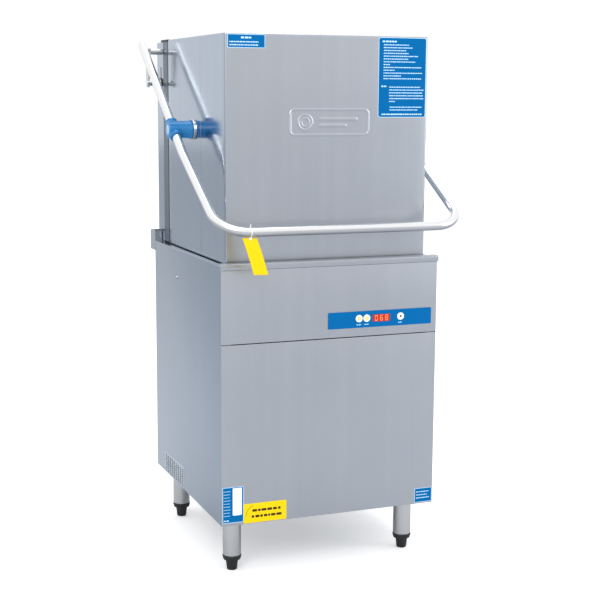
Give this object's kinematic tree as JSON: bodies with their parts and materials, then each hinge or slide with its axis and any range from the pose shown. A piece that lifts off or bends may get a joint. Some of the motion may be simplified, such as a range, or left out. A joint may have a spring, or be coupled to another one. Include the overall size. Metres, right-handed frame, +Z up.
{
  "type": "commercial dishwasher",
  "caption": "Pass-through commercial dishwasher with a lifting hood, a bent tube handle, a wash tank with spray arms and a cabinet on adjustable feet.",
  "frame": {"origin": "on the floor under the middle of the overall box", "axes": "+Z up, -Y towards the front with the control panel, +X to the right seen from the front"},
  "size_m": [0.74, 0.8226, 1.481],
  "materials": {
    "cabinet_steel": "fine vertical brushed stainless sheet",
    "hood_steel": "fine vertical brushed stainless sheet",
    "tank_steel": "pressed stainless",
    "frame_steel": "plain stainless angle",
    "leg_steel": "ring brushed stainless tube",
    "rail_steel": "plain stainless channel",
    "polished_steel": "polished stainless tube",
    "screw_steel": "bright screw heads",
    "spring_steel": "drawn spring wire",
    "element_steel": "heater sheath",
    "motor_paint": "painted casting",
    "brass": "machined brass",
    "bronze": "sintered bronze bush",
    "black_nylon": "moulded nylon",
    "black_rubber": "reinforced hose",
    "grey_plastic": "moulded plastic",
    "white_plastic": "low friction plastic",
    "blue_plastic": "glossy moulded plastic",
    "blue_film": "printed film",
    "display_red": "tinted display window",
    "button_plastic": "pale button caps",
    "yellow_film": "yellow card strip with a white tie"
  },
  "bodies": {
    "cabinet": {"base_frame": "frame_steel", "bottom_panel": "cabinet_steel", "side_panels": "cabinet_steel", "back_panel": "cabinet_steel", "front_panel_lower": "cabinet_steel", "front_panel_upper": "cabinet_steel", "panel_screws": "screw_steel", "top_rim": "cabinet_steel", "legs": "leg_steel", "leg_inserts": "black_nylon", "wash_tank": "tank_steel", "rack_track": "polished_steel", "strainers": "tank_steel", "heating_elements": "element_steel", "lower_manifold": "tank_steel", "riser_pipe": "polished_steel", "arm_nuts": "black_nylon", "pump_volute": "grey_plastic", "pump_motor_case": "motor_paint", "water_pipes": "black_rubber", "rinse_boiler": "tank_steel", "water_inlet_valve": "brass", "cable_gland": "grey_plastic", "electrical_box": "grey_plastic", "control_fascia": "blue_film", "display_board": "display_red", "columns": "cabinet_steel", "guide_rails": "rail_steel", "rail_caps": "black_nylon", "rear_crossmember": "cabinet_steel", "rear_cover": "cabinet_steel", "pivot_bushes": "bronze", "spring_beam": "frame_steel", "counterbalance_springs": "spring_steel", "base_labels": "blue_film"},
    "hood": {"hood_front": "hood_steel", "hood_rear": "hood_steel", "hood_roof": "hood_steel", "hood_guides": "white_plastic", "hood_labels": "blue_film"},
    "handle": {"handle_tube": "polished_steel", "shaft_levers": "leg_steel", "pivot_shaft": "polished_steel"},
    "sleeve_left": {"sleeve_left": "blue_plastic"},
    "sleeve_right": {"sleeve_right": "blue_plastic"},
    "hang_tag": {"hang_tag": "yellow_film"},
    "foot_front_left": {"foot_front_left": "black_nylon"},
    "foot_front_right": {"foot_front_right": "black_nylon"},
    "foot_rear_left": {"foot_rear_left": "black_nylon"},
    "foot_rear_right": {"foot_rear_right": "black_nylon"},
    "lower_wash_arm": {"lower_wash_arm": "tank_steel"},
    "lower_rinse_arm": {"lower_rinse_arm": "tank_steel"},
    "upper_wash_arm": {"upper_wash_arm": "tank_steel"},
    "upper_rinse_arm": {"upper_rinse_arm": "tank_steel"},
    "pump_rotor": {"pump_rotor": "motor_paint"},
    "scrap_basket": {"scrap_basket": "tank_steel"},
    "overflow_standpipe": {"overflow_standpipe": "grey_plastic"},
    "button_left": {"button_left": "button_plastic"},
    "button_right": {"button_right": "button_plastic"},
    "button_start": {"button_start": "button_plastic"}
  },
  "joints": [
    {"name": "hood_lift", "type": "slide", "parent": "cabinet", "child": "hood", "axis": [0, 0, 1], "range_m": [0, 0.4]},
    {"name": "handle_turn", "type": "hinge", "parent": "cabinet", "child": "handle", "pos_m": [0, 0.356, 1.354], "axis": [-1, 0, 0], "range_deg": [0, 62.96], "deforming": ["counterbalance_springs"]},
    {"name": "sleeve_left_slide", "type": "slide", "parent": "handle", "child": "sleeve_left", "axis": [0, -0.8115, -0.5843], "range_m": [0, 0.07022]},
    {"name": "sleeve_right_slide", "type": "slide", "parent": "handle", "child": "sleeve_right", "axis": [0, -0.8115, -0.5843], "range_m": [0, 0.07022]},
    {"name": "tag_swing", "type": "hinge", "parent": "handle", "child": "hang_tag", "pos_m": [0, -0.397, 0.96957], "axis": [1, 0, 0], "range_deg": [0, 62.96]},
    {"name": "foot_front_left_screw", "type": "slide", "parent": "cabinet", "child": "foot_front_left", "axis": [0, 0, -1], "range_m": [0, 0.025]},
    {"name": "foot_front_right_screw", "type": "slide", "parent": "cabinet", "child": "foot_front_right", "axis": [0, 0, -1], "range_m": [0, 0.025]},
    {"name": "foot_rear_left_screw", "type": "slide", "parent": "cabinet", "child": "foot_rear_left", "axis": [0, 0, -1], "range_m": [0, 0.025]},
    {"name": "foot_rear_right_screw", "type": "slide", "parent": "cabinet", "child": "foot_rear_right", "axis": [0, 0, -1], "range_m": [0, 0.025]},
    {"name": "lower_wash_arm_spin", "type": "hinge", "parent": "cabinet", "child": "lower_wash_arm", "pos_m": [0, -0.007, 0.831], "axis": [0, 0, 1], "continuous": true},
    {"name": "lower_rinse_arm_spin", "type": "hinge", "parent": "cabinet", "child": "lower_rinse_arm", "pos_m": [0, -0.007, 0.851], "axis": [0, 0, 1], "continuous": true},
    {"name": "upper_wash_arm_spin", "type": "hinge", "parent": "cabinet", "child": "upper_wash_arm", "pos_m": [0, -0.007, 1.385], "axis": [0, 0, 1], "continuous": true},
    {"name": "upper_rinse_arm_spin", "type": "hinge", "parent": "cabinet", "child": "upper_rinse_arm", "pos_m": [0, -0.007, 1.365], "axis": [0, 0, 1], "continuous": true},
    {"name": "pump_spin", "type": "hinge", "parent": "cabinet", "child": "pump_rotor", "pos_m": [0, -0.052, 0.47], "axis": [1, 0, 0], "continuous": true},
    {"name": "basket_lift", "type": "slide", "parent": "cabinet", "child": "scrap_basket", "axis": [0, 0, 1], "range_m": [0, 0.08]},
    {"name": "standpipe_lift", "type": "slide", "parent": "cabinet", "child": "overflow_standpipe", "axis": [0, 0, 1], "range_m": [0, 0.15]},
    {"name": "button_left_press", "type": "slide", "parent": "cabinet", "child": "button_left", "axis": [0, 1, 0], "range_m": [0, 0.0012], "stiffness_N_per_m": 800, "springref_m": -0.0005},
    {"name": "button_right_press", "type": "slide", "parent": "cabinet", "child": "button_right", "axis": [0, 1, 0], "range_m": [0, 0.0012], "stiffness_N_per_m": 800, "springref_m": -0.0005},
    {"name": "button_start_press", "type": "slide", "parent": "cabinet", "child": "button_start", "axis": [0, 1, 0], "range_m": [0, 0.0012], "stiffness_N_per_m": 800, "springref_m": -0.0005}
  ],
  "couplings": [
    {"joint": "handle_turn", "follows": "hood_lift", "rad_per_m": 2.7449},
    {"joint": "sleeve_left_slide", "follows": "hood_lift", "ratio": 0.1753},
    {"joint": "sleeve_right_slide", "follows": "hood_lift", "ratio": 0.1753},
    {"joint": "tag_swing", "follows": "hood_lift", "rad_per_m": 2.7449}
  ]
}
